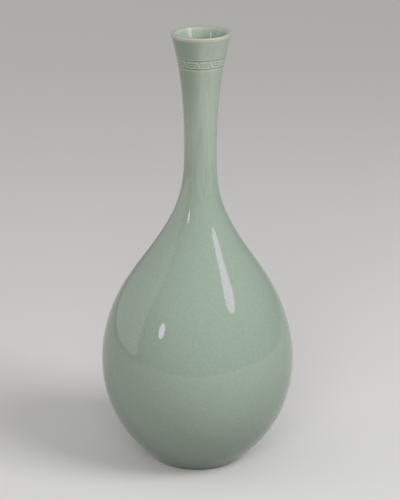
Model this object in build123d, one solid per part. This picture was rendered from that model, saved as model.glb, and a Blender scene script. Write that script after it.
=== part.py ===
from build123d import *
import math
import os
from typing import NamedTuple

# Celadon bottle vase in millimetres, standing on z = 0 with its axis on Z.
# Three thrown clay sections are luted together with slip, and glass coats cover them inside and out.

# Radius of the glazed outside at each station
FOOT_RADIUS = 37.6
LOWER_BELLY_RADIUS = 62.6
BELLY_RADIUS = 80.4
SHOULDER_RADIUS = 62.9
ROOT_RADIUS = 33.3
LOWER_NECK_RADIUS = 16.6
WAIST_RADIUS = 13.25
UPPER_NECK_RADIUS = 16.8
MOUTH_RADIUS = 24.2

# Rise of each station over the one below, the first over the table
GLAZE_LINE = 1.5
LOWER_BELLY_RISE = 26.5
BELLY_RISE = 60.0
SHOULDER_RISE = 63.0
ROOT_RISE = 44.5
LOWER_NECK_RISE = 37.5
WAIST_RISE = 38.0
UPPER_NECK_RISE = 58.5
MOUTH_RISE = 36.0

# Lean of the wall off the upright, in degrees, where it leaves the foot and at the mouth
FOOT_FLARE = 49.0
MOUTH_FLARE = 15.5

# Clay wall at the stations, and the floor on the axis
LOWER_BELLY_WALL = 6.0
BELLY_WALL = 4.6
SHOULDER_WALL = 4.4
ROOT_WALL = 4.0
NECK_WALL = 3.0
LIP_WALL = 2.9
FLOOR = 7.0

# Glass coats
OUTER_COAT = 0.7
LIP_COAT = 0.35
INNER_COAT = 0.5
BASE_COAT = 0.6

# Lip: how far its outside runs straight on over the mouth, and the rounding of its two edges
LIP_RISE = 0.8
LIP_ROUND = 0.75

# Foot ring, turned out of the lower section
RING_RADIUS = 35.5
RING_WIDTH = 4.4
RING_DRAFT = 1.2
RECESS_DEPTH = 6.0
RECESS_COVE = 1.5

# Luted seams: slip between the sections, and the fall of the belly seam towards the outside
SLIP = 0.8
BELLY_SEAM_FALL = 25.0

# Key fret carved round the neck between two border lines
FRET_DROP = 17.65
FRET_HEIGHT = 6.9
FRET_UNITS = 11
FRET_START = -96.2
LINE_WIDTH = 0.8
LINE_DEPTH = 0.35

# Strokes of one fret unit: share of the unit from left to right, share of the band from bottom to top
FRET_STROKES = [
    [(0.00, 1.00), (0.17, 0.36), (0.68, 0.36)],
    [(0.29, 0.65), (0.80, 0.65), (0.97, 0.00)],
]


class Station(NamedTuple):
    """Level of the vase: its glazed radius, its rise over the level below, and the layers of its wall."""

    radius: float
    rise: float
    coat: float
    wall: float
    inner_coat: float

    @property
    def to_clay_inside(self):
        return self.coat + self.wall

    @property
    def to_hollow(self):
        return self.coat + self.wall + self.inner_coat


STATIONS = {
    "lower belly": Station(LOWER_BELLY_RADIUS, LOWER_BELLY_RISE, OUTER_COAT, LOWER_BELLY_WALL, INNER_COAT),
    "belly": Station(BELLY_RADIUS, BELLY_RISE, OUTER_COAT, BELLY_WALL, INNER_COAT),
    "shoulder": Station(SHOULDER_RADIUS, SHOULDER_RISE, OUTER_COAT, SHOULDER_WALL, INNER_COAT),
    "root": Station(ROOT_RADIUS, ROOT_RISE, OUTER_COAT, ROOT_WALL, INNER_COAT),
    "lower neck": Station(LOWER_NECK_RADIUS, LOWER_NECK_RISE, OUTER_COAT, NECK_WALL, INNER_COAT),
    "waist": Station(WAIST_RADIUS, WAIST_RISE, OUTER_COAT, NECK_WALL, INNER_COAT),
    "upper neck": Station(UPPER_NECK_RADIUS, UPPER_NECK_RISE, OUTER_COAT, NECK_WALL, INNER_COAT),
    "mouth": Station(MOUTH_RADIUS, MOUTH_RISE, LIP_COAT, LIP_WALL, LIP_COAT),
}


def leaning(angle):
    """Direction in the plane of X and Z that leans outwards from the upright."""
    return Vector(math.sin(math.radians(angle)), 0, math.cos(math.radians(angle)))


def inward(direction):
    """The way into the wall, square to a direction that climbs the outside."""
    return Vector(-direction.Z, 0, direction.X)


def outline_points():
    """The glazed outside from the glaze line to the mouth, in the plane of X and Z."""
    height = GLAZE_LINE
    points = {"foot": Vector(FOOT_RADIUS, 0, height)}
    for name, station in STATIONS.items():
        height += station.rise
        points[name] = Vector(station.radius, 0, height)
    return points


def fair_curve(points, start):
    """Smooth curve through points, from a start direction to the lean of the mouth."""
    return Spline(*points, tangents=[start, MOUTH_DIRECTION], tangent_scalars=[1, 1])


OUTWARDS = Vector(1, 0, 0)
FOOT_DIRECTION = leaning(FOOT_FLARE)
MOUTH_DIRECTION = leaning(MOUTH_FLARE)
OUTLINE_POINTS = outline_points()
OUTLINE = fair_curve(OUTLINE_POINTS.values(), FOOT_DIRECTION)


def sunk(name, depth):
    """The outline's point at a station, moved square into the wall."""
    point = OUTLINE_POINTS[name]
    return point + inward(OUTLINE.tangent_at(point)) * depth


def clay_outside():
    """The face of the clay under the outer coat."""
    points = [sunk(name, station.coat) for name, station in STATIONS.items()]
    return fair_curve([sunk("foot", OUTER_COAT), *points], FOOT_DIRECTION)


def clay_inside():
    """The face of the clay round the hollow, from the middle of the floor up to the mouth."""
    points = [sunk(name, station.to_clay_inside) for name, station in STATIONS.items()]
    return fair_curve([Vector(0, 0, RECESS_DEPTH + FLOOR), *points], OUTWARDS)


def hollow():
    """The glazed face of the hollow, from the middle of the floor up to the mouth."""
    points = [sunk(name, station.to_hollow) for name, station in STATIONS.items()]
    return fair_curve([Vector(0, 0, RECESS_DEPTH + FLOOR + INNER_COAT), *points], OUTWARDS)


CLAY_OUTSIDE = clay_outside()
CLAY_INSIDE = clay_inside()
HOLLOW = hollow()


def lip_cap(outer, inner, rounding):
    """Edges of the lip from the top of one face to the top of another: two roundings with a flat between."""
    across = inward(MOUTH_DIRECTION)
    foot = outer @ 1 + MOUTH_DIRECTION * LIP_RISE
    centre, inner_centre = foot + across * rounding, inner @ 1 - across * rounding
    fall = (inner_centre - centre).normalized()
    over = inward(fall) * -rounding
    return [
        Line(outer @ 1, foot),
        TangentArc(foot, centre + over, tangent=MOUTH_DIRECTION),
        Line(centre + over, inner_centre + over),
        TangentArc(inner_centre + over, inner @ 1, tangent=fall),
    ]


GLAZED_LIP = lip_cap(OUTLINE, HOLLOW, LIP_ROUND)
CLAY_LIP = lip_cap(CLAY_OUTSIDE, CLAY_INSIDE, LIP_ROUND - LIP_COAT)


def closed(*edges):
    """Flat face inside a chain of edges."""
    return Face(Wire(edges))


def turned(face):
    """Solid swept by a face once round the axis."""
    return revolve(face, Axis.Z)


def recess_points():
    """Foot recess from the middle of its ceiling out to the foot ring's inner edge."""
    ring_inner = RING_RADIUS - RING_WIDTH
    top = ring_inner - RING_DRAFT
    middle = Vector(0, 0, RECESS_DEPTH)
    cove_start = Vector(top - RECESS_COVE, 0, RECESS_DEPTH)
    cove_end = Vector(top, 0, RECESS_DEPTH - RECESS_COVE)
    return middle, cove_start, cove_end, Vector(ring_inner, 0, 0)


def clay_section():
    """Half section of all the clay, before it is parted at the seams."""
    middle, cove_start, cove_end, ring_inner = recess_points()
    ring_outer = Vector(RING_RADIUS, 0, 0)
    return closed(
        Line(middle, cove_start),
        TangentArc(cove_start, cove_end, tangent=OUTWARDS),
        Line(cove_end, ring_inner),
        Line(ring_inner, ring_outer),
        Line(ring_outer, CLAY_OUTSIDE @ 0),
        CLAY_OUTSIDE,
        *CLAY_LIP,
        CLAY_INSIDE,
        Line(CLAY_INSIDE @ 0, middle),
    )


def seam_band(point, fall):
    """Band across a wall, level with a point of the outline, where slip joins two sections."""
    reach = 2 * BELLY_RADIUS
    drop = reach * math.tan(math.radians(fall))
    low, high = -SLIP / 2, SLIP / 2
    corners = [(-reach, drop + low), (reach, low - drop), (reach, high - drop), (-reach, drop + high)]
    return Face(Polyline(*[point + Vector(x, 0, z) for x, z in corners], close=True))


def clay_pieces():
    """Lower body, upper body and neck, with the slip that joins them, as half sections."""
    clay = clay_section()
    belly_band = seam_band(OUTLINE_POINTS["belly"], BELLY_SEAM_FALL)
    neck_band = seam_band(OUTLINE_POINTS["root"], 0)
    sections = (clay - belly_band - neck_band).faces().sort_by(lambda face: face.center().Z)
    slips = [(clay & band).face() for band in (belly_band, neck_band)]
    return sections, slips


def outer_glaze():
    """Coat over the outside and the lip, with the fret carved into it."""
    coat = closed(
        Line(CLAY_OUTSIDE @ 0, OUTLINE @ 0),
        OUTLINE,
        *GLAZED_LIP,
        Line(HOLLOW @ 1, CLAY_INSIDE @ 1),
        *CLAY_LIP,
        CLAY_OUTSIDE,
    )
    return turned(coat) - fret_lines()


def inner_glaze():
    """Coat over the floor and the walls of the hollow, up to the lip."""
    coat = closed(
        Line(HOLLOW @ 0, CLAY_INSIDE @ 0),
        CLAY_INSIDE,
        Line(CLAY_INSIDE @ 1, HOLLOW @ 1),
        HOLLOW,
    )
    return turned(coat)


def base_glaze():
    """Patch of glaze on the ceiling of the foot recess."""
    middle, cove_start, *_ = recess_points()
    under = Vector(0, 0, -BASE_COAT)
    edge = cove_start + under - OUTWARDS * BASE_COAT
    coat = closed(
        Line(middle, cove_start),
        TangentArc(edge, cove_start, tangent=OUTWARDS),
        Line(edge, middle + under),
        Line(middle + under, middle),
    )
    return turned(coat)


def outline_at(height):
    """Place along the outline, from 0 to 1, at which it reaches a height."""
    low, high = 0.0, 1.0
    for _ in range(40):
        middle = (low + high) / 2
        if (OUTLINE @ middle).Z < height:
            low = middle
        else:
            high = middle
    return low


def line_section(height):
    """Section of a carved line that runs level round the neck."""
    place = outline_at(height)
    frame = Plane(OUTLINE @ place, x_dir=OUTLINE % place, z_dir=(0, 1, 0))
    return frame * Rectangle(LINE_WIDTH, 2 * LINE_DEPTH)


def fret_point(unit, across, up):
    """Angle and height of a point of the fret."""
    angle = FRET_START + (unit + across) * 360 / FRET_UNITS
    height = OUTLINE_POINTS["mouth"].Z - FRET_DROP - FRET_HEIGHT * (1 - up)
    return angle, height


def level_stroke(start, end):
    """Carved line along the neck's girth between two points of one height."""
    section = Rot(0, 0, start[0]) * line_section(start[1])
    return revolve(section, Axis.Z, end[0] - start[0])


def slanted_stroke(start, end):
    """Straight carved line between two points of different heights."""
    ends = [Rot(0, 0, angle) * Pos(OUTLINE @ outline_at(height)) for angle, height in (start, end)]
    first, last = (location.position for location in ends)
    middle = (start[0] + end[0]) / 2
    place = outline_at((start[1] + end[1]) / 2)
    normal = (inward(OUTLINE % place) * -1).rotate(Axis.Z, middle)
    frame = Plane((first + last) / 2, x_dir=last - first, z_dir=normal)
    return frame * Box((last - first).length + LINE_WIDTH, LINE_WIDTH, 2 * LINE_DEPTH)


def fret_lines():
    """All the carved lines: two borders and the strokes of every unit."""
    lines = []
    for up in (0, 1):
        _, height = fret_point(0, 0, up)
        lines.append(turned(line_section(height)))
    for unit in range(FRET_UNITS):
        for stroke in FRET_STROKES:
            points = [fret_point(unit, across, up) for across, up in stroke]
            for start, end in zip(points, points[1:]):
                level = start[1] == end[1]
                lines.append(level_stroke(start, end) if level else slanted_stroke(start, end))
    return lines


def main():
    """Make every piece and write it under its own name."""
    (lower_body, upper_body, neck), (belly_slip, neck_slip) = clay_pieces()
    pieces = {
        "lower_body": turned(lower_body),
        "upper_body": turned(upper_body),
        "neck": turned(neck),
        "belly_slip": turned(belly_slip),
        "neck_slip": turned(neck_slip),
        "outer_glaze": outer_glaze(),
        "inner_glaze": inner_glaze(),
        "base_glaze": base_glaze(),
    }
    os.makedirs("parts", exist_ok=True)
    for name, piece in pieces.items():
        export_step(piece, f"parts/{name}.step")


if __name__ == "__main__":
    main()
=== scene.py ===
"""Celadon bottle vase: its coats of glaze, its bare clay and the studio that shows them.

Everything is in metres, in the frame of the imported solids: +Z up, the table at z = 0, the viewer towards -Y.
"""

import logging
import math
from dataclasses import dataclass
from enum import Enum

import bmesh
import bpy
import numpy as np
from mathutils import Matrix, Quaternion, Vector

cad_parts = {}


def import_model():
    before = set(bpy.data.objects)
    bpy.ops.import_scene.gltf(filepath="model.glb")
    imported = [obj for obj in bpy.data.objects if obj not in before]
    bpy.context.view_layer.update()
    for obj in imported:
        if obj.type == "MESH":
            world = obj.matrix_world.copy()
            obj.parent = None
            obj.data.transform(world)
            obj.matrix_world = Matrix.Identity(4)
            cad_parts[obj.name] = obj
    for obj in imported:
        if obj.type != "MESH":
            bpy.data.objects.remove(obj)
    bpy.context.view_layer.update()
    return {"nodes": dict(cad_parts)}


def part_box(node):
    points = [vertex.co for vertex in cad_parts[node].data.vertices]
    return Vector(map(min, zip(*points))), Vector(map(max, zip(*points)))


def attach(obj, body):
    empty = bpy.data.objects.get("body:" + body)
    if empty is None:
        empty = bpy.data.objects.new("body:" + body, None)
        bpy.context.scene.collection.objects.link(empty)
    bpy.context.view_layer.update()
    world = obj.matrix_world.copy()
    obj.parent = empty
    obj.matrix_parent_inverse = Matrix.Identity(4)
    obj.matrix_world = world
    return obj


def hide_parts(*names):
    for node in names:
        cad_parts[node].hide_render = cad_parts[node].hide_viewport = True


LOG = logging.getLogger("bottle_vase")
MM = 0.001
TURN = 2 * math.pi
FAR_SIDE = math.radians(90)
SHARP_EDGE = math.radians(50)
ROOT_BODY = "root"
DEPTH_ATTRIBUTE = "glaze_depth"

Colour = tuple[float, float, float]


class Slot(Enum):
    """Material slots of the pieces."""

    STONEWARE = "stoneware"
    SLIP = "luting_slip"
    CELADON = "celadon_glaze"


class LampShape(Enum):
    """Shapes of studio lamp, by Blender's names."""

    PANEL = "RECTANGLE"
    DISH = "ELLIPSE"


class FairCurve:
    """Smooth curve through points of the half section, run by the length of its chords."""

    SEARCH_STEPS = 4000

    def __init__(self, points: np.ndarray, start: np.ndarray, end: np.ndarray) -> None:
        """Fit the curve.

        Args:
            points: Radius and height of each point, from one end to the other.
            start: Unit direction at the first point.
            end: Unit direction at the last point.
        """
        self.points = points
        self.chords = np.linalg.norm(np.diff(points, axis=0), axis=1)
        self.runs = np.concatenate([[0.0], np.cumsum(self.chords)])
        self.slopes = self._slopes(start, end)

    def _slopes(self, start: np.ndarray, end: np.ndarray) -> np.ndarray:
        """Find the slope at each point that keeps the curvature unbroken.

        Args:
            start: Unit direction at the first point.
            end: Unit direction at the last point.

        Returns:
            One slope for each point.
        """
        count = len(self.points)
        system = np.eye(count)
        wanted = np.zeros((count, 2))
        wanted[0], wanted[-1] = start, end
        steps = np.diff(self.points, axis=0) / self.chords[:, None] ** 2
        for i in range(1, count - 1):
            before, after = 1 / self.chords[i - 1], 1 / self.chords[i]
            system[i, i - 1 : i + 2] = before, 2 * (before + after), after
            wanted[i] = 3 * (steps[i - 1] + steps[i])
        return np.linalg.solve(system, wanted)

    @property
    def length(self) -> float:
        """Length of all the chords."""
        return self.runs[-1]

    def sample(self, runs: np.ndarray) -> tuple[np.ndarray, np.ndarray]:
        """Find points of the curve.

        Args:
            runs: Lengths along the chords.

        Returns:
            The points and the unit directions there.
        """
        i = np.clip(np.searchsorted(self.runs, runs, side="right") - 1, 0, len(self.chords) - 1)
        h = self.chords[i][:, None]
        t = (np.asarray(runs) - self.runs[i])[:, None] / h
        low, high = self.points[i], self.points[i + 1]
        leave, arrive = self.slopes[i] * h, self.slopes[i + 1] * h
        rise = high - low
        bend = arrive + leave - 2 * rise
        turn = 3 * rise - 2 * leave - arrive
        points = low + t * (leave + t * (turn + t * bend))
        slopes = leave + t * (2 * turn + t * 3 * bend)
        return points, slopes / np.linalg.norm(slopes, axis=1)[:, None]

    def run_at(self, height: float) -> float:
        """Length along the chords at which a curve that only rises reaches a height."""
        runs = np.linspace(0, self.length, self.SEARCH_STEPS)
        return float(np.interp(height, self.sample(runs)[0][:, 1], runs))


def leaning(angle: np.ndarray | float) -> np.ndarray:
    """Directions of the section that lean outwards from the upright by angles in degrees."""
    return np.stack([np.sin(np.radians(angle)), np.cos(np.radians(angle))], axis=-1)


def inward(direction: np.ndarray) -> np.ndarray:
    """The way into the wall, square to directions that climb the outside."""
    return np.stack([-direction[..., 1], direction[..., 0]], axis=-1)


def eased(value: np.ndarray, low: float, high: float) -> np.ndarray:
    """Smooth step from 0 at the low limit to 1 at the high one."""
    t = np.clip((value - low) / (high - low), 0, 1)
    return t * t * (3 - 2 * t)


def turned_to(angles: np.ndarray, side: float) -> np.ndarray:
    """1 at one side of the vase, falling to 0 at the opposite one."""
    return 0.5 + 0.5 * np.cos(angles - side)


@dataclass(frozen=True)
class Station:
    """Level of the vase: its glazed radius, its rise over the level below, and the layers of its wall."""

    radius: float
    rise: float
    wall: float
    coat: float = 0.7 * MM
    inner_coat: float = 0.5 * MM


@dataclass(frozen=True)
class ThrownForm:
    """Half section of the vase, with the same stations as the solids."""

    glaze_line: float = 1.5 * MM
    foot_radius: float = 37.6 * MM
    foot_flare: float = 49.0
    mouth_flare: float = 15.5
    foot_coat: float = 0.7 * MM
    floor_top: float = 13.0 * MM
    floor_coat: float = 0.5 * MM
    lip_rise: float = 0.8 * MM
    lip_round: float = 0.75 * MM
    stations: tuple[Station, ...] = (
        Station(62.6 * MM, 26.5 * MM, 6.0 * MM),
        Station(80.4 * MM, 60.0 * MM, 4.6 * MM),
        Station(62.9 * MM, 63.0 * MM, 4.4 * MM),
        Station(33.3 * MM, 44.5 * MM, 4.0 * MM),
        Station(16.6 * MM, 37.5 * MM, 3.0 * MM),
        Station(13.25 * MM, 38.0 * MM, 3.0 * MM),
        Station(16.8 * MM, 58.5 * MM, 3.0 * MM),
        Station(24.2 * MM, 36.0 * MM, 2.9 * MM, 0.35 * MM, 0.35 * MM),
    )

    @property
    def mouth_height(self) -> float:
        """Height of the uppermost station, where the lip begins."""
        return self.glaze_line + sum(station.rise for station in self.stations)

    def outline(self) -> FairCurve:
        """The glazed outside from the glaze line to the mouth."""
        radii = [self.foot_radius, *(station.radius for station in self.stations)]
        heights = np.cumsum([self.glaze_line, *(station.rise for station in self.stations)])
        points = np.stack([radii, heights], axis=1)
        return FairCurve(points, leaning(self.foot_flare), leaning(self.mouth_flare))

    def _sunk(self, depths: list[float]) -> np.ndarray:
        """The outline's points above the foot, each moved square into the wall by its own depth."""
        outline = self.outline()
        points, directions = outline.sample(outline.runs[1:])
        return points + inward(directions) * np.array(depths)[:, None]

    def clay_outside(self) -> FairCurve:
        """The face of the clay under the outer coat."""
        outline = self.outline()
        point, direction = outline.sample(outline.runs[:1])
        foot = point + inward(direction) * self.foot_coat
        points = np.concatenate([foot, self._sunk([station.coat for station in self.stations])])
        return FairCurve(points, leaning(self.foot_flare), leaning(self.mouth_flare))

    def _hollow(self, floor: float, depths: list[float]) -> FairCurve:
        """A face of the hollow, from the middle of the floor up to the mouth."""
        points = np.concatenate([[[0.0, floor]], self._sunk(depths)])
        return FairCurve(points, np.array([1.0, 0.0]), leaning(self.mouth_flare))

    def clay_inside(self) -> FairCurve:
        """The face of the clay round the hollow."""
        return self._hollow(self.floor_top, [s.coat + s.wall for s in self.stations])

    def hollow(self) -> FairCurve:
        """The glazed face of the hollow."""
        depths = [s.coat + s.wall + s.inner_coat for s in self.stations]
        return self._hollow(self.floor_top + self.floor_coat, depths)

    def lip(self, outer: FairCurve, inner: FairCurve, rounding: float, rows: int) -> np.ndarray:
        """Lip with two rounded edges and a flat between them.

        Args:
            outer: Face that the lip tops on the outside.
            inner: Face that it comes down to inside.
            rounding: Radius of both edges.
            rows: Steps up the outside, round each edge and over the flat.

        Returns:
            Radius and height of each place, from one face to the other.
        """
        up = leaning(self.mouth_flare)
        start, end = outer.points[-1], inner.points[-1]
        centre = start + up * self.lip_rise + inward(up) * rounding
        inner_centre = end - inward(up) * rounding
        fall = math.degrees(math.atan2(*(inner_centre - centre)))
        turns = np.linspace(self.mouth_flare, fall, rows + 1)
        inner_turns = np.linspace(fall, self.mouth_flare - 180, rows + 1)
        edge = centre - rounding * inward(leaning(turns))
        inner_edge = inner_centre - rounding * inward(leaning(inner_turns))
        outside = np.linspace(start, edge[0], rows + 1)
        flat = np.linspace(edge[-1], inner_edge[0], rows + 1)
        return np.concatenate([outside[:-1], edge, flat[1:-1], inner_edge])


@dataclass(frozen=True)
class HandThrow:
    """Small departures from true turning: a neck luted on off centre, leaning, with a mouth out of level."""

    neck_shift: float = 2.3 * MM
    shift_from: float = 125 * MM
    shift_to: float = 265 * MM
    neck_forward: float = 2.7 * MM
    forward_from: float = 195 * MM
    forward_to: float = 243 * MM
    neck_rise: float = 0.63 * MM
    rise_to: float = 335 * MM
    lean_from: float = 240 * MM
    neck_lean: float = 0.0066
    mouth_tilt: float = 0.014
    tilt_from: float = 290 * MM
    tilt_to: float = 366 * MM

    def bend(self, coords: np.ndarray) -> np.ndarray:
        """Move turned points to where the potter's hand left them.

        Args:
            coords: Points about the true axis.

        Returns:
            The moved points.
        """
        x, height = coords[:, 0], coords[:, 2]
        moved = coords.copy()
        moved[:, 0] += self.neck_shift * eased(height, self.shift_from, self.shift_to)
        moved[:, 0] += self.neck_lean * np.maximum(height - self.lean_from, 0)
        moved[:, 1] -= self.neck_forward * eased(height, self.forward_from, self.forward_to)
        moved[:, 2] += self.neck_rise * eased(height, self.forward_to, self.rise_to)
        moved[:, 2] += self.mouth_tilt * x * eased(height, self.tilt_from, self.tilt_to)
        return moved


@dataclass(frozen=True)
class KeyFret:
    """Running key fret cut between two border lines under the mouth."""

    drop: float = 17.65 * MM
    height: float = 6.9 * MM
    units: int = 11
    start: float = math.radians(-96.2)
    half_width: float = 0.42 * MM
    sink: float = 0.36 * MM
    stroke_share: float = 0.42
    # Pale line beside each carved line: partly glaze drawn thin, partly a painted highlight.
    thin_glaze_and_highlight_at: float = 1.0 * MM
    thin_glaze_and_highlight_width: float = 0.4 * MM
    margin: float = 1.6 * MM
    strokes: tuple[tuple[tuple[float, float], ...], ...] = (
        ((0.00, 1.00), (0.17, 0.36), (0.68, 0.36)),
        ((0.29, 0.65), (0.80, 0.65), (0.97, 0.00)),
    )

    def carve(self, angles: np.ndarray, above: float, radius: float) -> tuple[np.ndarray, np.ndarray]:
        """Find the carving round one level.

        Args:
            angles: Places round the neck.
            above: Height over the lower border.
            radius: Radius of the neck there.

        Returns:
            Depth of the carving, as a share of a border's, and a pale line beside it: partly glaze drawn
            thin at the edge, partly a painted highlight.
        """
        border = np.full(len(angles), min(abs(above), abs(above - self.height)))
        stroke = self._to_stroke(angles, above, radius)
        depth = np.maximum(self._valley(border), self.stroke_share * self._valley(stroke))
        # Pale line beside each carved line: partly glaze drawn thin at the edge, partly a painted highlight.
        beside = (np.minimum(border, stroke) - self.thin_glaze_and_highlight_at) / self.thin_glaze_and_highlight_width
        return depth, np.exp(-(beside**2))

    def _valley(self, away: np.ndarray) -> np.ndarray:
        """Section of a carved line: 1 along its middle, falling to 0 on the ground beside it."""
        return np.exp(-((away / self.half_width) ** 2))

    def _to_stroke(self, angles: np.ndarray, above: float, radius: float) -> np.ndarray:
        """Distance from places round one level to the nearest stroke."""
        pitch = TURN / self.units * radius
        across = np.mod((angles - self.start) * self.units / TURN, 1.0) * pitch
        nearest = np.full(len(angles), pitch)
        for stroke in self.strokes:
            points = [np.array([u * pitch, v * self.height]) for u, v in stroke]
            for first, last in zip(points, points[1:]):
                for shift in (-pitch, 0.0, pitch):
                    away = self._distance(across + shift, above, first, last)
                    nearest = np.minimum(nearest, away)
        return nearest

    @staticmethod
    def _distance(across: np.ndarray, above: float, first: np.ndarray, last: np.ndarray) -> np.ndarray:
        """Distance from places on the unrolled band to one straight stroke."""
        run = last - first
        offset = np.stack([across - first[0], np.full_like(across, above - first[1])], axis=1)
        share = np.clip(offset @ run / (run @ run), 0, 1)
        return np.linalg.norm(offset - share[:, None] * run, axis=1)


class Lathe:
    """Mesh of rings about the axis, each with as many points as its neighbour, or twice or half as many."""

    def __init__(self) -> None:
        """Start with no rings."""
        self.coords: list[np.ndarray] = []
        self.depths: list[np.ndarray] = []

    @staticmethod
    def angles(count: int) -> np.ndarray:
        """Places of a ring's points round the axis."""
        return np.arange(count) * TURN / count

    def ring(self, count: int, radius: np.ndarray | float, height: np.ndarray | float,
             depth: np.ndarray | float = 1.0) -> None:
        """Add a ring, or a single point on the axis.

        Args:
            count: Points in the ring.
            radius: One radius, or one for each point.
            height: One height, or one for each point.
            depth: Depth of glaze, as a share of the usual coat.
        """
        angles = self.angles(count)
        ones = np.ones(count)
        x, y = radius * np.cos(angles), radius * np.sin(angles)
        self.coords.append(np.stack([x, y, height * ones], axis=1))
        self.depths.append(depth * ones)

    def faces(self, closed: bool) -> list[tuple[int, ...]]:
        """Faces between neighbouring rings, and from the last to the first of a closed section."""
        counts = [len(ring) for ring in self.coords]
        starts = np.concatenate([[0], np.cumsum(counts)]).tolist()
        pairs = list(zip(range(len(counts)), range(1, len(counts))))
        if closed:
            pairs.append((len(counts) - 1, 0))
        return [face for a, b in pairs for face in self._bridge(starts[a], counts[a], starts[b], counts[b])]

    @staticmethod
    def _bridge(a: int, size_a: int, b: int, size_b: int) -> list[tuple[int, ...]]:
        """Faces between two rings, given the first index and the count of each."""
        if size_a == 1:
            return [(a, b + (i + 1) % size_b, b + i) for i in range(size_b)]
        if size_b == 1:
            return [(a + i, a + (i + 1) % size_a, b) for i in range(size_a)]
        turns = range(min(size_a, size_b))
        if size_a == size_b:
            return [(a + i, a + (i + 1) % size_a, b + (i + 1) % size_b, b + i) for i in turns]
        if size_b == 2 * size_a:
            return [(a + i, a + (i + 1) % size_a, b + (2 * i + 2) % size_b, b + 2 * i + 1, b + 2 * i)
                    for i in turns]
        return [(a + 2 * i, a + 2 * i + 1, a + (2 * i + 2) % size_a, b + (i + 1) % size_b, b + i)
                for i in turns]

    def piece(self, name: str, throw: HandThrow, closed: bool) -> bpy.types.Object:
        """Make the object.

        Args:
            name: Its name.
            throw: How the potter's hand bent it.
            closed: Whether the last ring joins the first.

        Returns:
            A smooth mesh object that carries the depth of the glaze.
        """
        mesh = bpy.data.meshes.new(name)
        mesh.from_pydata(throw.bend(np.concatenate(self.coords)).tolist(), [], self.faces(closed))
        depth = mesh.attributes.new(DEPTH_ATTRIBUTE, "FLOAT", "POINT")
        depth.data.foreach_set("value", np.concatenate(self.depths).astype(np.float32))
        return shown(mesh)


def place(piece: bpy.types.Object) -> bpy.types.Object:
    """Link an object into the scene."""
    bpy.context.scene.collection.objects.link(piece)
    return piece


def shown(mesh: bpy.types.Mesh) -> bpy.types.Object:
    """Shade a mesh as round, apart from its sharp edges, and place it under its own name."""
    mesh.shade_smooth()
    mesh.set_sharp_from_angle(angle=SHARP_EDGE)
    mesh.update()
    return place(bpy.data.objects.new(mesh.name, mesh))


def settle(piece: bpy.types.Object, material: bpy.types.Material, slot: Slot, *nodes: str) -> None:
    """Give a piece its finish and its place in the frame.

    Args:
        piece: The object.
        material: Its finish.
        slot: The slot of that finish; not used.
        nodes: The solids that it stands for.
    """
    piece.data.materials.clear()
    piece.data.materials.append(material)
    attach(piece, ROOT_BODY)
    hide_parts(*nodes)
    LOG.info("%s: %d faces for %s", piece.name, len(piece.data.polygons), ", ".join(nodes))


@dataclass(frozen=True)
class LipGlaze:
    """Depth of the thin glaze on the lip, in front and how much fuller at the far side."""

    front: float = 0.62
    fuller: float = 0.14

    def depths(self, angles: np.ndarray) -> np.ndarray:
        """Depth at places round the lip."""
        return self.front + self.fuller * turned_to(angles, FAR_SIDE)


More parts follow.
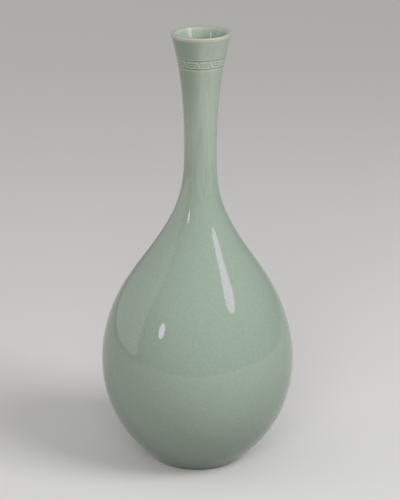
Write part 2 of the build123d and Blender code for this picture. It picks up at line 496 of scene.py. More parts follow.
@dataclass(frozen=True)
class OuterCoat:
    """Glaze over the outside and the lip, with the carved band.

    Each of edge_waves has its share of the edge's creep, its count round the foot and where it starts.
    """

    form: ThrownForm
    throw: HandThrow
    fret: KeyFret
    lip: LipGlaze = LipGlaze()
    count: int = 176
    row: float = 2.4 * MM
    band_row: float = 0.18 * MM
    hidden_row: float = 7.0 * MM
    edge_bulge: float = 0.35 * MM
    edge_rows: int = 9
    edge_creep: float = 0.4 * MM
    edge_waves: tuple[tuple[float, int, float], ...] = ((0.5, 3, 1.1), (0.3, 7, 2.3), (0.2, 13, 0.4))
    creep_reach: float = 9.0 * MM
    foot_depth: float = 1.35
    foot_reach: float = 16.0 * MM
    neck_depth: float = 0.853
    neck_from: float = 170 * MM
    neck_to: float = 300 * MM
    lip_rows: int = 6
    lip_reach: float = 1.9 * MM
    lip_row: float = 0.2 * MM
    lip_zone: float = 2.2 * MM
    toast_depth: float = 0.3
    toast_at: float = 0.25 * MM
    toast_width: float = 0.4 * MM
    toast_side: float = math.radians(225)
    toast_fade: tuple[float, float] = (-0.3, 0.6)
    pool_depth: float = 0.9
    thin_glaze_and_highlight_depth: float = 0.2

    def build(self, material: bpy.types.Material) -> None:
        """Turn the coat, carve the band and dress it.

        Args:
            material: The celadon of the outside.
        """
        lathe = Lathe()
        self._edge(lathe)
        self._wall(lathe)
        self._lip(lathe)
        self._back(lathe)
        coat = lathe.piece("celadon_outside", self.throw, closed=True)
        settle(coat, material, Slot.CELADON, "outer_glaze")

    def _creep(self, angles: np.ndarray, above: float) -> np.ndarray:
        """How far the glaze has crept up or run down near its lower edge, which is never quite level."""
        wander = sum(share * np.sin(count * angles + start) for share, count, start in self.edge_waves)
        return self.edge_creep * wander * (1 - eased(above, 0, self.creep_reach))

    def _depth(self, height: float) -> float:
        """Depth of glaze on the wall: it ran down off the neck and the lip, and gathered above the foot."""
        above_foot = height - self.form.glaze_line
        below_lip = self.form.mouth_height - height
        run_off = (1 - self.neck_depth) * eased(height, self.neck_from, self.neck_to)
        fuller = (self.foot_depth - 1) * (1 - eased(above_foot, 0, self.foot_reach))
        thinner = (self.neck_depth - self.lip.front) * (1 - eased(below_lip, 0, self.lip_reach))
        return 1 - run_off + fuller - thinner

    def _edge(self, lathe: Lathe) -> None:
        """Rounded roll where the glaze stops above the foot."""
        outline, clay = self.form.outline(), self.form.clay_outside()
        start, end = clay.points[0], outline.points[0]
        middle, half = (start + end) / 2, (start - end) / 2
        down = -leaning(self.form.foot_flare)
        angles = lathe.angles(self.count)
        for phase in np.linspace(0, math.pi, self.edge_rows)[1:-1]:
            point = middle + math.cos(phase) * half + math.sin(phase) * self.edge_bulge * down
            slide = self._creep(angles, 0.0)[:, None] * -down
            radius, height = (point + slide).T
            lathe.ring(self.count, radius, height, self.foot_depth)

    def _wall(self, lathe: Lathe) -> None:
        """The outside from the glaze line to the lip, in rings that double twice towards the band."""
        outline = self.form.outline()
        border = self.form.mouth_height - self.fret.drop - self.fret.height
        band_low = outline.run_at(border - self.fret.margin)
        band_high = outline.run_at(border + self.fret.height + self.fret.margin)
        once, twice = 2 * self.band_row, 4 * self.band_row
        runs = [
            (self.count, self._steps(0, band_low, self.row)),
            (2 * self.count, [band_low + once]),
            (4 * self.count, self._steps(band_low + twice, band_high - twice, self.band_row)),
            (2 * self.count, [band_high - once]),
            (self.count, self._steps(band_high, outline.length - self.lip_zone, self.row)),
            (self.count, self._steps(outline.length - self.lip_zone, outline.length, self.lip_row)[1:]),
        ]
        for count, places in runs:
            angles = lathe.angles(count)
            points, directions = outline.sample(np.array(places))
            for place_along, point, direction in zip(places, points, directions):
                above = point[1] - border
                groove, thin_glaze_and_highlight = np.array(self.fret.carve(angles, above, point[0])) * self._in_band(above)
                moved = point + inward(direction) * (groove * self.fret.sink)[:, None]
                moved += direction * self._creep(angles, point[1] - self.form.glaze_line)[:, None]
                # Thinner glaze beside each carved line, partly a painted highlight on the edge.
                depth = self._depth(point[1]) + self.pool_depth * groove - self.thin_glaze_and_highlight_depth * thin_glaze_and_highlight
                depth -= self._toast(angles, place_along - outline.length)
                lathe.ring(count, moved[:, 0], moved[:, 1], depth)

    def _toast(self, angles: np.ndarray, over_mouth: float) -> np.ndarray:
        """How far the glaze has burnt away in a line round the lip, on the side that faced the fire."""
        line = math.exp(-(((over_mouth - self.toast_at) / self.toast_width) ** 2))
        return self.toast_depth * line * eased(np.cos(angles - self.toast_side), *self.toast_fade)

    def _in_band(self, above: float) -> float:
        """1 within the band, 0 well above and below it."""
        within = -self.fret.margin < above < self.fret.height + self.fret.margin
        return 1.0 if within else 0.0

    @staticmethod
    def _steps(low: float, high: float, step: float) -> np.ndarray:
        """Even places from one limit to the other, about a step apart."""
        return np.linspace(low, high, max(2, round((high - low) / step) + 1))

    def _lip(self, lathe: Lathe) -> None:
        """The lip, where the glaze has run thin."""
        places = self.form.lip(self.form.outline(), self.form.hollow(), self.form.lip_round, self.lip_rows)
        runs = np.cumsum(np.linalg.norm(np.diff(places, axis=0), axis=1))
        angles = lathe.angles(self.count)
        depth = self.lip.depths(angles)
        for run, (radius, height) in zip(runs, places[1:]):
            lathe.ring(self.count, radius, height, depth - self._toast(angles, run))

    def _back(self, lathe: Lathe) -> None:
        """The side that lies on the clay, from the lip down to the foot."""
        clay, inside = self.form.clay_outside(), self.form.clay_inside()
        rounding = self.form.lip_round - self.form.stations[-1].coat
        for radius, height in self.form.lip(clay, inside, rounding, self.lip_rows)[::-1]:
            lathe.ring(self.count, radius, height)
        for radius, height in clay.sample(self._steps(clay.length, 0, -self.hidden_row)[1:])[0]:
            lathe.ring(self.count, radius, height)


@dataclass(frozen=True)
class InnerCoat:
    """Glaze over the floor and the walls of the hollow, up to the lip, with painted shade deeper in the bore.
    """

    form: ThrownForm
    throw: HandThrow
    lip: LipGlaze = LipGlaze()
    count: int = 176
    row: float = 2.4 * MM
    hidden_row: float = 7.0 * MM
    lip_row: float = 0.4 * MM
    lip_rows: int = 10
    lip_reach: float = 2.0 * MM
    deep: float = 1.0
    # Painted shade: extra glaze depth, which darkens the colour towards the pool, deeper in the bore on its
    # far right side.
    painted_bore_shade_depth: float = 0.7
    painted_bore_shade_from: float = 3.0 * MM
    painted_bore_shade_to: float = 11.0 * MM
    painted_bore_shade_side: float = math.radians(65)

    def build(self, material: bpy.types.Material) -> None:
        """Turn the coat and dress it.

        Args:
            material: The celadon of the inside.
        """
        lathe = Lathe()
        clay, hollow = self.form.clay_inside(), self.form.hollow()
        lathe.ring(1, 0.0, clay.points[0][1])
        for radius, height in clay.sample(np.arange(self.hidden_row, clay.length, self.hidden_row))[0]:
            lathe.ring(self.count, radius, height)
        angles = lathe.angles(self.count)
        lip_depth = self.lip.depths(angles)
        for radius, height in (clay.points[-1], hollow.points[-1]):
            lathe.ring(self.count, radius, height, lip_depth)
        fine = self.lip_row * np.arange(1, self.lip_rows + 1)
        coarse = np.arange(fine[-1] + self.row, hollow.length - self.row, self.row)
        # Painted shade deeper in the bore, strongest on the far right side and none at the front left.
        facing = turned_to(angles, self.painted_bore_shade_side) ** 2
        for radius, height in hollow.sample(hollow.length - np.concatenate([fine, coarse]))[0]:
            below = self.form.mouth_height - height
            depth = lip_depth + (self.deep - lip_depth) * eased(below, 0, self.lip_reach)
            fuller = self.painted_bore_shade_depth * eased(below, self.painted_bore_shade_from, self.painted_bore_shade_to)
            lathe.ring(self.count, radius, height, depth + fuller * facing)
        lathe.ring(1, 0.0, hollow.points[0][1], self.deep)
        coat = lathe.piece("celadon_inside", self.throw, closed=False)
        settle(coat, material, Slot.CELADON, "inner_glaze")


@dataclass(frozen=True)
class BaseCoat:
    """Patch of glaze on the ceiling of the foot recess, drawn thin at its edge."""

    throw: HandThrow
    count: int = 132
    rows: int = 18
    edge_rows: int = 8
    back_rows: int = 6
    edge_depth: float = 0.55
    deep: float = 1.15

    def build(self, material: bpy.types.Material) -> None:
        """Shape the patch inside the solid's box and dress it.

        Args:
            material: The celadon of the outside.
        """
        low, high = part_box("base_glaze")
        radius, thick = high.x, high.z - low.z
        lathe = Lathe()
        lathe.ring(1, 0.0, low.z, self.deep)
        for share in np.linspace(0, 1, self.rows)[1:]:
            depth = self.deep + (1 - self.deep) * share
            lathe.ring(self.count, share * (radius - thick), low.z, depth)
        for phase in np.linspace(0, math.pi / 2, self.edge_rows)[1:]:
            rim = radius - thick * (1 - math.sin(phase))
            depth = 1 + (self.edge_depth - 1) * phase / (math.pi / 2)
            lathe.ring(self.count, rim, high.z - thick * math.cos(phase), depth)
        for share in np.linspace(1, 0, self.back_rows)[1:-1]:
            lathe.ring(self.count, share * radius, high.z)
        lathe.ring(1, 0.0, high.z)
        patch = lathe.piece("celadon_under_foot", self.throw, closed=False)
        settle(patch, material, Slot.CELADON, "base_glaze")


@dataclass(frozen=True)
class ClayBody:
    """The three thrown sections and the slip between them: each solid, its piece's name and its slot."""

    throw: HandThrow
    weld: float = 0.001 * MM
    pieces: tuple[tuple[str, str, Slot], ...] = (
        ("lower_body", "clay_lower_body", Slot.STONEWARE),
        ("upper_body", "clay_upper_body", Slot.STONEWARE),
        ("neck", "clay_neck", Slot.STONEWARE),
        ("belly_slip", "slip_at_belly", Slot.SLIP),
        ("neck_slip", "slip_at_neck", Slot.SLIP),
    )

    def build(self, solids: dict[str, bpy.types.Object], finishes: dict[Slot, bpy.types.Material]) -> None:
        """Make a welded copy of each section and ring, bent with the neck.

        Args:
            solids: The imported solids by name.
            finishes: The finish of each slot.
        """
        for node, name, slot in self.pieces:
            settle(self._bend(solids[node], name), finishes[slot], slot, node)

    def _bend(self, solid: bpy.types.Object, name: str) -> bpy.types.Object:
        """Copy a solid's mesh and move it as the potter's hand did."""
        work = bmesh.new()
        work.from_mesh(solid.data)
        bmesh.ops.remove_doubles(work, verts=work.verts, dist=self.weld)
        mesh = bpy.data.meshes.new(name)
        work.to_mesh(mesh)
        work.free()
        coords = np.empty(len(mesh.vertices) * 3)
        mesh.vertices.foreach_get("co", coords)
        mesh.vertices.foreach_set("co", self.throw.bend(coords.reshape(-1, 3)).ravel())
        return shown(mesh)


class Nodes:
    """Short ways to add and join the nodes of one tree."""

    def __init__(self, tree: bpy.types.NodeTree) -> None:
        """Work on a tree."""
        self.tree = tree

    def add(self, kind: str, inputs: dict[str, object] | None = None, **settings: object) -> bpy.types.Node:
        """Add a node.

        Args:
            kind: Its type.
            inputs: Values or sockets for its inputs, by the inputs' identifiers.
            settings: Its properties.

        Returns:
            The node.
        """
        node = self.tree.nodes.new(kind)
        for name, value in settings.items():
            setattr(node, name, value)
        for name, value in (inputs or {}).items():
            self.feed(node, name, value)
        return node

    def feed(self, node: bpy.types.Node, name: str, value: object) -> None:
        """Set or join one input, found by its identifier or its name."""
        found = [s for s in node.inputs if s.identifier == name] or [s for s in node.inputs if s.name == name]
        if isinstance(value, bpy.types.NodeSocket):
            self.tree.links.new(value, found[0])
        else:
            found[0].default_value = value

    def math(self, operation: str, first: object, second: object) -> bpy.types.NodeSocket:
        """Result of a sum on two values."""
        node = self.add("ShaderNodeMath", {"Value": first, "Value_001": second}, operation=operation)
        return node.outputs[0]

    def vectors(self, operation: str, first: object,
                second: object = (0.0, 0.0, 0.0)) -> bpy.types.NodeSocket:
        """Result of a sum on vectors: a value from a dot product, and a vector from the others."""
        node = self.add("ShaderNodeVectorMath", {"Vector": first, "Vector_001": second}, operation=operation)
        return node.outputs["Value" if operation == "DOT_PRODUCT" else "Vector"]

    def ramp(self, value: bpy.types.NodeSocket, low: object, high: object, bottom: object = 0.0,
             top: object = 1.0) -> bpy.types.NodeSocket:
        """Smooth step of a value between two limits."""
        limits = {"Value": value, "From Min": low, "From Max": high, "To Min": bottom, "To Max": top}
        return self.add("ShaderNodeMapRange", limits, interpolation_type="SMOOTHSTEP").outputs[0]

    def between(self, share: object, first: object, second: object) -> bpy.types.NodeSocket:
        """Blend of two values."""
        values = {"Factor_Float": share, "A_Float": first, "B_Float": second}
        return self.add("ShaderNodeMix", values).outputs[0]

    def mix(self, share: object, first: object, second: object) -> bpy.types.NodeSocket:
        """Blend of two colours."""
        colours = {"Factor_Float": share, "A_Color": first, "B_Color": second}
        node = self.add("ShaderNodeMix", colours, data_type="RGBA")
        return next(s for s in node.outputs if s.identifier == "Result_Color")

    def group(self, tree: bpy.types.NodeTree, inputs: dict[str, object]) -> bpy.types.NodeSocket:
        """Result of a node group with its own values."""
        return self.add("ShaderNodeGroup", inputs, node_tree=tree).outputs[0]


class Effects:
    """Node groups that several finishes share, each built once.

    BURNT, THIN, FULL and POOLED are depths of glaze, as shares of the usual coat, at which its colour turns.
    """

    FLOAT = "NodeSocketFloat"
    COLOUR = "NodeSocketColor"
    VECTOR = "NodeSocketVector"
    CLOUD_LIMITS = (0.25, 0.75)
    CLOUD_DETAIL = 3.0
    RIPPLE_DETAIL = 1.0
    SPECK_CORE = 0.4
    BURNT, THIN, FULL, POOLED = 0.3, 0.5, 1.0, 2.0

    def __init__(self) -> None:
        """Build every group."""
        self.clouding = self._clouding()
        self.specks = self._specks()
        self.ripple = self._ripple()
        self.glaze_tone = self._glaze_tone()

    @staticmethod
    def _open(name: str, inputs: dict[str, str],
              outputs: dict[str, str]) -> tuple[Nodes, dict[str, bpy.types.NodeSocket], bpy.types.Node]:
        """Start a group.

        Args:
            name: Its name.
            inputs: Socket type of each input.
            outputs: Socket type of each output.

        Returns:
            Its nodes, its inputs by name and its output node.
        """
        tree = bpy.data.node_groups.new(name, "ShaderNodeTree")
        for label, kind in inputs.items():
            tree.interface.new_socket(label, in_out="INPUT", socket_type=kind)
        for label, kind in outputs.items():
            tree.interface.new_socket(label, in_out="OUTPUT", socket_type=kind)
        nodes = Nodes(tree)
        entry = nodes.add("NodeGroupInput")
        return nodes, {label: entry.outputs[label] for label in inputs}, nodes.add("NodeGroupOutput")

    @staticmethod
    def _noise(nodes: Nodes, vector: object, size: object, detail: float) -> bpy.types.NodeSocket:
        """Noise whose bumps are about as far apart as a size."""
        given = {"Vector": vector, "Scale": nodes.math("DIVIDE", 1.0, size), "Detail": detail}
        return nodes.add("ShaderNodeTexNoise", given).outputs["Fac"]

    def _clouding(self) -> bpy.types.NodeTree:
        """Soft uneven clouds of one size, from 0 to 1."""
        given = {"Vector": self.VECTOR, "Size": self.FLOAT, "Stretch": self.FLOAT}
        nodes, given, out = self._open("soft_clouding", given, {"Cloud": self.FLOAT})
        squeeze = nodes.add("ShaderNodeCombineXYZ", {"X": 1.0, "Y": 1.0, "Z": given["Stretch"]})
        scaled = nodes.vectors("MULTIPLY", given["Vector"], squeeze.outputs[0])
        noise = self._noise(nodes, scaled, given["Size"], self.CLOUD_DETAIL)
        nodes.feed(out, "Cloud", nodes.ramp(noise, *self.CLOUD_LIMITS))
        return nodes.tree

    def _specks(self) -> bpy.types.NodeTree:
        """Scattered round specks, on a share of the places that could hold one."""
        given = {"Vector": self.VECTOR, "Spacing": self.FLOAT, "Radius": self.FLOAT, "Share": self.FLOAT}
        nodes, given, out = self._open("scattered_specks", given, {"Mask": self.FLOAT})
        scale = nodes.math("DIVIDE", 1.0, given["Spacing"])
        cells = nodes.add("ShaderNodeTexVoronoi", {"Vector": given["Vector"], "Scale": scale})
        reach = nodes.math("DIVIDE", given["Radius"], given["Spacing"])
        core = nodes.math("MULTIPLY", reach, self.SPECK_CORE)
        spot = nodes.ramp(cells.outputs["Distance"], core, reach, 1.0, 0.0)
        pick = nodes.add("ShaderNodeSeparateColor", {"Color": cells.outputs["Color"]})
        chosen = nodes.math("LESS_THAN", pick.outputs[0], given["Share"])
        nodes.feed(out, "Mask", nodes.math("MULTIPLY", spot, chosen))
        return nodes.tree

    def _ripple(self) -> bpy.types.NodeTree:
        """Gentle unevenness of a surface, in metres, at two sizes."""
        given = {"Vector": self.VECTOR, "Broad Size": self.FLOAT, "Broad Height": self.FLOAT,
                 "Fine Size": self.FLOAT, "Fine Height": self.FLOAT}
        nodes, given, out = self._open("surface_ripple", given, {"Height": self.FLOAT})
        waves = []
        for kind in ("Broad", "Fine"):
            noise = self._noise(nodes, given["Vector"], given[f"{kind} Size"], self.RIPPLE_DETAIL)
            waves.append(nodes.math("MULTIPLY", noise, given[f"{kind} Height"]))
        nodes.feed(out, "Height", nodes.math("ADD", *waves))
        return nodes.tree

    def _glaze_tone(self) -> bpy.types.NodeTree:
        """Colour of a glaze by its depth: toasted where it is thinnest, and darker in pools."""
        given = {"Depth": self.FLOAT, "Cloud": self.FLOAT, "Toasted": self.COLOUR, "Thin": self.COLOUR,
                 "Body": self.COLOUR, "Clouded": self.COLOUR, "Pool": self.COLOUR}
        nodes, given, out = self._open("glaze_tone", given, {"Colour": self.COLOUR})
        depth = given["Depth"]
        body = nodes.mix(given["Cloud"], given["Body"], given["Clouded"])
        thin = nodes.mix(nodes.ramp(depth, self.THIN, self.FULL), given["Thin"], body)
        toasted = nodes.mix(nodes.ramp(depth, self.BURNT, self.THIN), given["Toasted"], thin)
        pooled = nodes.mix(nodes.ramp(depth, self.FULL, self.POOLED), toasted, given["Pool"])
        nodes.feed(out, "Colour", pooled)
        return nodes.tree


def opaque(colour: Colour) -> tuple[float, float, float, float]:
    """A colour with full alpha, as sockets take it."""
    return (*colour, 1.0)


@dataclass(frozen=True)
class Clouds:
    """Soft clouds: their size across, and the factor on heights that draws them out where it is below 1."""

    size: float
    stretch: float = 1.0


@dataclass(frozen=True)
class Specks:
    """Scattered specks: the places are a spacing apart, a share of them holds a speck, strength tints it."""

    colour: Colour
    spacing: float
    radius: float
    share: float
    strength: float


@dataclass(frozen=True)
class Ripple:
    """Unevenness of a surface: the size and the height of its broad and its fine waves."""

    broad_size: float
    broad_height: float
    fine_size: float
    fine_height: float


class FinishNodes(Nodes):
    """Nodes of one material, with the steps that the finishes share."""

    def __init__(self, name: str, effects: Effects) -> None:
        """Start an empty material.

        Args:
            name: Its name.
            effects: The shared node groups.
        """
        self.material = bpy.data.materials.new(name)
        self.material.use_nodes = True
        super().__init__(self.material.node_tree)
        self.tree.nodes.clear()
        self.effects = effects
        self.place = self.add("ShaderNodeTexCoord").outputs["Object"]
        self.height = self.add("ShaderNodeSeparateXYZ", {"Vector": self.place}).outputs["Z"]

    def clouds(self, clouds: Clouds) -> bpy.types.NodeSocket:
        """Soft clouds over the surface, from 0 to 1."""
        given = {"Vector": self.place, "Size": clouds.size, "Stretch": clouds.stretch}
        return self.group(self.effects.clouding, given)

    def speckled(self, ground: bpy.types.NodeSocket, specks: Specks) -> bpy.types.NodeSocket:
        """A colour with specks scattered over it."""
        given = {"Vector": self.place, "Spacing": specks.spacing, "Radius": specks.radius,
                 "Share": specks.share}
        mask = self.group(self.effects.specks, given)
        return self.mix(self.math("MULTIPLY", mask, specks.strength), ground, opaque(specks.colour))

    def shaded(self, ripple: Ripple, inputs: dict[str, object]) -> bpy.types.Material:
        """Close the material with its shader.

        Args:
            ripple: Unevenness of the surface.
            inputs: Values or sockets for the shader's inputs.

        Returns:
            The material.
        """
        given = {"Vector": self.place, "Broad Size": ripple.broad_size, "Broad Height": ripple.broad_height,
                 "Fine Size": ripple.fine_size, "Fine Height": ripple.fine_height}
        height = self.group(self.effects.ripple, given)
        bump = self.add("ShaderNodeBump", {"Strength": 1.0, "Distance": 1.0, "Height": height})
        shader = self.add("ShaderNodeBsdfPrincipled", {**inputs, "Normal": bump.outputs[0]})
        self.add("ShaderNodeOutputMaterial", {"Surface": shader.outputs[0]})
        return self.material


@dataclass(frozen=True)
class Celadon:
    """Glossy grey-green glaze with faint clouds, bubbles and pinholes, runs on the neck, and painted shade on
    one side of the upper neck.

    It is dry where it is thinner than dry_at, as a share of the usual coat, and glossy from glossy_at.
    """

    name: str
    body: Colour = (0.309, 0.388, 0.314)
    clouded: Colour = (0.341, 0.427, 0.346)
    thin: Colour = (0.585, 0.575, 0.48)
    toasted: Colour = (0.47, 0.40, 0.29)
    pool: Colour = (0.185, 0.24, 0.185)
    # Painted shade: a darker colour laid on the front-left of the upper neck, where less light falls.
    painted_shade_colour: Colour = (0.202, 0.286, 0.211)
    painted_shade_from: float = 278 * MM
    painted_shade_to: float = 342 * MM
    painted_shade_side: float = math.radians(240)
    painted_shade_edge: float = 0.74
    broad: Clouds = Clouds(45 * MM, 0.6)
    fine: Clouds = Clouds(2.4 * MM)
    fine_share: float = 0.85
    runs: Clouds = Clouds(1.8 * MM, 0.04)
    runs_limits: tuple[float, float] = (0.3, 0.7)
    runs_from: float = 195 * MM
    runs_to: float = 250 * MM
    bubbles: Specks = Specks((0.40, 0.48, 0.41), 1.6 * MM, 0.45 * MM, 0.35, 0.5)
    pinholes: Specks = Specks((0.20, 0.24, 0.18), 11 * MM, 0.35 * MM, 0.12, 0.7)
    ripple: Ripple = Ripple(22 * MM, 0.03 * MM, 3.5 * MM, 0.0012 * MM)
    dry_at: float = 0.6
    glossy_at: float = 0.8
    dry_roughness: float = 0.5
    roughness: float = 0.035
    ior: float = 1.5

    def material(self, effects: Effects) -> bpy.types.Material:
        """Build the finish.

        Args:
            effects: The shared node groups.

        Returns:
            The material.
        """
        nodes = FinishNodes(self.name, effects)
        depth = nodes.add("ShaderNodeAttribute", attribute_name=DEPTH_ATTRIBUTE).outputs["Fac"]
        # Painted shade on the front-left side of the upper neck.
        painted_shade = self._painted_shade(nodes)
        tone = nodes.group(effects.glaze_tone, {
            "Depth": depth, "Cloud": self._cloud(nodes),
            "Toasted": opaque(self.toasted), "Thin": opaque(self.thin), "Pool": opaque(self.pool),
            "Body": nodes.mix(painted_shade, opaque(self.body), opaque(self.painted_shade_colour)),
            "Clouded": nodes.mix(painted_shade, opaque(self.clouded), opaque(self.painted_shade_colour))})
        colour = nodes.speckled(nodes.speckled(tone, self.bubbles), self.pinholes)
        roughness = nodes.ramp(depth, self.dry_at, self.glossy_at, self.dry_roughness, self.roughness)
        return nodes.shaded(self.ripple, {"Base Color": colour, "Roughness": roughness, "IOR": self.ior})

    def _cloud(self, nodes: FinishNodes) -> bpy.types.NodeSocket:
        """Clouds of the glaze: mostly fine ones over broad ones on the body, and runs on the neck."""
        on_neck = nodes.ramp(nodes.height, self.runs_from, self.runs_to)
        runs = nodes.ramp(nodes.clouds(self.runs), *self.runs_limits)
        detail = nodes.between(on_neck, nodes.clouds(self.fine), runs)
        share = nodes.ramp(nodes.height, self.runs_from, self.runs_to, self.fine_share, 1.0)
        return nodes.between(share, nodes.clouds(self.broad), detail)

    def _painted_shade(self, nodes: FinishNodes) -> bpy.types.NodeSocket:
        """Share of the painted shade, on the front-left side of the upper neck."""
        outward = nodes.vectors("NORMALIZE", nodes.vectors("MULTIPLY", nodes.place, (1.0, 1.0, 0.0)))
        side = (math.cos(self.painted_shade_side), math.sin(self.painted_shade_side), 0.0)
        facing = nodes.ramp(nodes.vectors("DOT_PRODUCT", outward, side), self.painted_shade_edge, 1.0)
        return nodes.math("MULTIPLY", facing, nodes.ramp(nodes.height, self.painted_shade_from, self.painted_shade_to))


@dataclass(frozen=True)
class FiredClay:
    """Bare stoneware or slip: matt, finely grained, with iron specks, toasted near the glaze."""

    name: str
    pale: Colour
    dark: Colour
    toasted: Colour
    toast_low: float = 0.3 * MM
    toast_high: float = 2.0 * MM
    toast_share: float = 0.8
    clouds: Clouds = Clouds(6 * MM)
    specks: Specks = Specks((0.10, 0.07, 0.05), 2.2 * MM, 0.35 * MM, 0.3, 0.6)
    grain: Ripple = Ripple(2.5 * MM, 0.06 * MM, 0.6 * MM, 0.03 * MM)
    roughness: float = 0.82

    def material(self, effects: Effects) -> bpy.types.Material:
        """Build the finish.

        Args:
            effects: The shared node groups.

        Returns:
            The material.
        """
        nodes = FinishNodes(self.name, effects)
        ground = nodes.mix(nodes.clouds(self.clouds), opaque(self.pale), opaque(self.dark))
        toast = nodes.ramp(nodes.height, self.toast_low, self.toast_high, top=self.toast_share)
        flashed = nodes.mix(toast, ground, opaque(self.toasted))
        colour = nodes.speckled(flashed, self.specks)
        return nodes.shaded(self.grain, {"Base Color": colour, "Roughness": self.roughness})


@dataclass(frozen=True)
class Lamp:
    """Soft lamp that faces the vase.

    azimuth is to the viewer's right of straight in front, elevation is above the level of the aim, roll
    turns the lamp about its own middle, and spread is the angle beyond which a grid hides it, all in degrees.
    radiance is what the lamp shows to someone facing it. A lamp that isn't lighting shows in the glaze alone,
    and one that isn't mirrored only lights.
    """

    name: str
    shape: LampShape
    azimuth: float
    elevation: float
    distance: float
    width: float
    height: float
    radiance: float
    aim: tuple[float, float, float] = (0.0, 0.0, 0.15)
    lighting: bool = True
    mirrored: bool = True
    roll: float = 0.0
    spread: float = 180.0
    tint: Colour = (1.0, 1.0, 1.0)

    def build(self) -> None:
        """Hang the lamp, out of the camera's sight."""
        light = bpy.data.lights.new(self.name, "AREA")
        light.shape = self.shape.value
        light.color = self.tint
        light.size, light.size_y = self.width, self.height
        area = self.width * self.height * (math.pi / 4 if self.shape is LampShape.DISH else 1)
        half = math.radians(self.spread) / 2
        light.spread = 2 * half
        narrowing = 1 - half / math.tan(half) if half < math.pi / 2 else 1
        light.energy = self.radiance * math.pi * area * narrowing
        azimuth, elevation = math.radians(self.azimuth), math.radians(self.elevation)
        way = Vector((math.cos(elevation) * math.sin(azimuth), -math.cos(elevation) * math.cos(azimuth),
                      math.sin(elevation)))
        lamp = place(bpy.data.objects.new(self.name, light))
        lamp.location = Vector(self.aim) + way * self.distance
        lamp.rotation_mode = "QUATERNION"
        turn = Quaternion((0.0, 0.0, 1.0), math.radians(self.roll))
        lamp.rotation_quaternion = (-way).to_track_quat("-Z", "Y") @ turn
        lamp.visible_camera = False
        lamp.visible_diffuse = self.lighting
        lamp.visible_glossy = self.mirrored


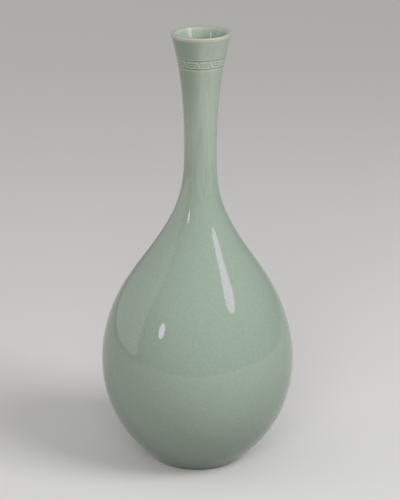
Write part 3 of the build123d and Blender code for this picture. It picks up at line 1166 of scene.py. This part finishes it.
@dataclass(frozen=True)
class Studio:
    """Sheet of pale floor in a dim room, soft lamps, and the camera at the photograph's place."""

    floor_colour: Colour = (0.80, 0.79, 0.77)
    bounce_colour: Colour = (0.20, 0.196, 0.192)
    room_colour: Colour = (0.33, 0.33, 0.33)
    mirrored_colour: Colour = (0.27, 0.27, 0.27)
    backdrop_colour: Colour = (0.42, 0.415, 0.40)
    floor_low: tuple[float, float] = (-1.0, -0.8)
    floor_high: tuple[float, float] = (0.97, 4.0)
    floor_drop: float = 0.1 * MM
    fade_from: float = 0.5
    fade_to: float = 2.4
    lamps: tuple[Lamp, ...] = (
        Lamp("front_fill", LampShape.PANEL, azimuth=-6.0, elevation=25.0, distance=2.0, width=1.0, height=1.0,
             radiance=4.85, mirrored=False, tint=(1.0, 1.0, 0.97)),
        Lamp("right_fill", LampShape.PANEL, azimuth=60.0, elevation=38.0, distance=2.0, width=1.0, height=1.0,
             radiance=6.8, mirrored=False, tint=(1.0, 1.0, 1.03)),
        Lamp("left_panel", LampShape.PANEL, azimuth=-90.0, elevation=0.0, distance=1.3, width=3.0, height=1.2,
             radiance=0.88, aim=(0.0, 1.17, 0.64), spread=130.0),
        Lamp("right_shine", LampShape.DISH, azimuth=60.07, elevation=38.2, distance=0.5, width=0.131,
             height=0.2115, radiance=4.7, aim=(0.022, -0.049, 0.165), lighting=False, roll=-31.6,
             tint=(1.0, 0.66, 1.02)),
        Lamp("left_shine", LampShape.DISH, azimuth=-49.4, elevation=21.65, distance=1.29, width=0.186,
             height=0.24, radiance=7.0, aim=(-0.033, -0.07, 0.105), lighting=False, tint=(1.0, 0.75, 1.02)),
    )
    camera_from: tuple[float, float, float] = (2.14 * MM, -1642.5 * MM, 749.6 * MM)
    camera_down: float = 19.03
    focal_pixels: float = 2098.0
    image_height: int = 500
    film: float = 36.0

    def build(self) -> None:
        """Set up the whole studio."""
        self._floor()
        self._room()
        for lamp in self.lamps:
            lamp.build()
        self._camera()
        bpy.context.scene.view_settings.view_transform = "Standard"
        LOG.info("studio: %d lamps", len(self.lamps))

    def _floor(self) -> None:
        """Flat floor under the foot, with its front and side edges out of the camera's sight."""
        (left, front), (right, back) = self.floor_low, self.floor_high
        mesh = bpy.data.meshes.new("floor")
        corners = [(left, front, 0.0), (right, front, 0.0), (right, back, 0.0), (left, back, 0.0)]
        mesh.from_pydata(corners, [], [(0, 1, 2, 3)])
        floor = place(bpy.data.objects.new("floor", mesh))
        floor.location.z = -self.floor_drop
        mesh.materials.append(self._floor_finish())

    def _floor_finish(self) -> bpy.types.Material:
        """Matt pale paint that throws little light up, and gives way to the backdrop towards the back."""
        material = bpy.data.materials.new("pale_floor")
        material.use_nodes = True
        material.node_tree.nodes.clear()
        nodes = Nodes(material.node_tree)
        place_in = nodes.add("ShaderNodeTexCoord").outputs["Object"]
        far = nodes.add("ShaderNodeSeparateXYZ", {"Vector": place_in}).outputs["Y"]
        gone = nodes.ramp(far, self.fade_from, self.fade_to)
        path = nodes.add("ShaderNodeLightPath").outputs
        looked_at = nodes.math("MAXIMUM", path["Is Camera Ray"], path["Is Glossy Ray"])
        colour = nodes.mix(looked_at, opaque(self.bounce_colour), opaque(self.floor_colour))
        paint = nodes.add("ShaderNodeBsdfDiffuse", {"Color": colour})
        clear = nodes.add("ShaderNodeBsdfTransparent")
        shaders = {"Fac": gone, "Shader": paint.outputs[0], "Shader_001": clear.outputs[0]}
        blend = nodes.add("ShaderNodeMixShader", shaders)
        nodes.add("ShaderNodeOutputMaterial", {"Surface": blend.outputs[0]})
        return material

    def _room(self) -> None:
        """Even light from all round, darker in the glaze, with a pale backdrop where the camera looks."""
        world = bpy.data.worlds.new("dim_room")
        world.use_nodes = True
        world.node_tree.nodes.clear()
        nodes = Nodes(world.node_tree)
        path = nodes.add("ShaderNodeLightPath").outputs
        room = nodes.mix(path["Is Glossy Ray"], opaque(self.room_colour), opaque(self.mirrored_colour))
        colour = nodes.mix(path["Is Camera Ray"], room, opaque(self.backdrop_colour))
        light = nodes.add("ShaderNodeBackground", {"Color": colour, "Strength": 1.0})
        nodes.add("ShaderNodeOutputWorld", {"Surface": light.outputs[0]})
        bpy.context.scene.world = world

    def _camera(self) -> None:
        """Camera at the photograph's height, distance and lens."""
        data = bpy.data.cameras.new("camera")
        data.sensor_width = self.film
        data.lens = self.focal_pixels * self.film / self.image_height
        camera = place(bpy.data.objects.new("camera", data))
        camera.location = self.camera_from
        camera.rotation_euler = (math.radians(90 - self.camera_down), 0.0, 0.0)
        bpy.context.scene.camera = camera


def main() -> None:
    """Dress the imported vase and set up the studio."""
    logging.basicConfig(level=logging.INFO, format="%(name)s: %(message)s")
    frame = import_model()
    effects = Effects()
    form, throw = ThrownForm(), HandThrow()
    outside = Celadon("celadon_glaze").material(effects)
    # Painted light: the inside is given a lighter, greener colour than the outside glaze, to brighten the
    # hollow.
    inside = Celadon("celadon_inside", body=(0.345, 0.432, 0.35), clouded=(0.375, 0.465, 0.38))
    stoneware = FiredClay("bare_stoneware", pale=(0.50, 0.43, 0.35), dark=(0.40, 0.33, 0.26),
                          toasted=(0.36, 0.21, 0.12))
    slip = FiredClay("fired_slip", pale=(0.60, 0.55, 0.47), dark=(0.54, 0.48, 0.40),
                     toasted=(0.54, 0.48, 0.40))
    finishes = {Slot.STONEWARE: stoneware.material(effects), Slot.SLIP: slip.material(effects)}
    OuterCoat(form, throw, KeyFret()).build(outside)
    InnerCoat(form, throw).build(inside.material(effects))
    BaseCoat(throw).build(outside)
    ClayBody(throw).build(frame["nodes"], finishes)
    Studio().build()


if __name__ == "__main__":
    main()
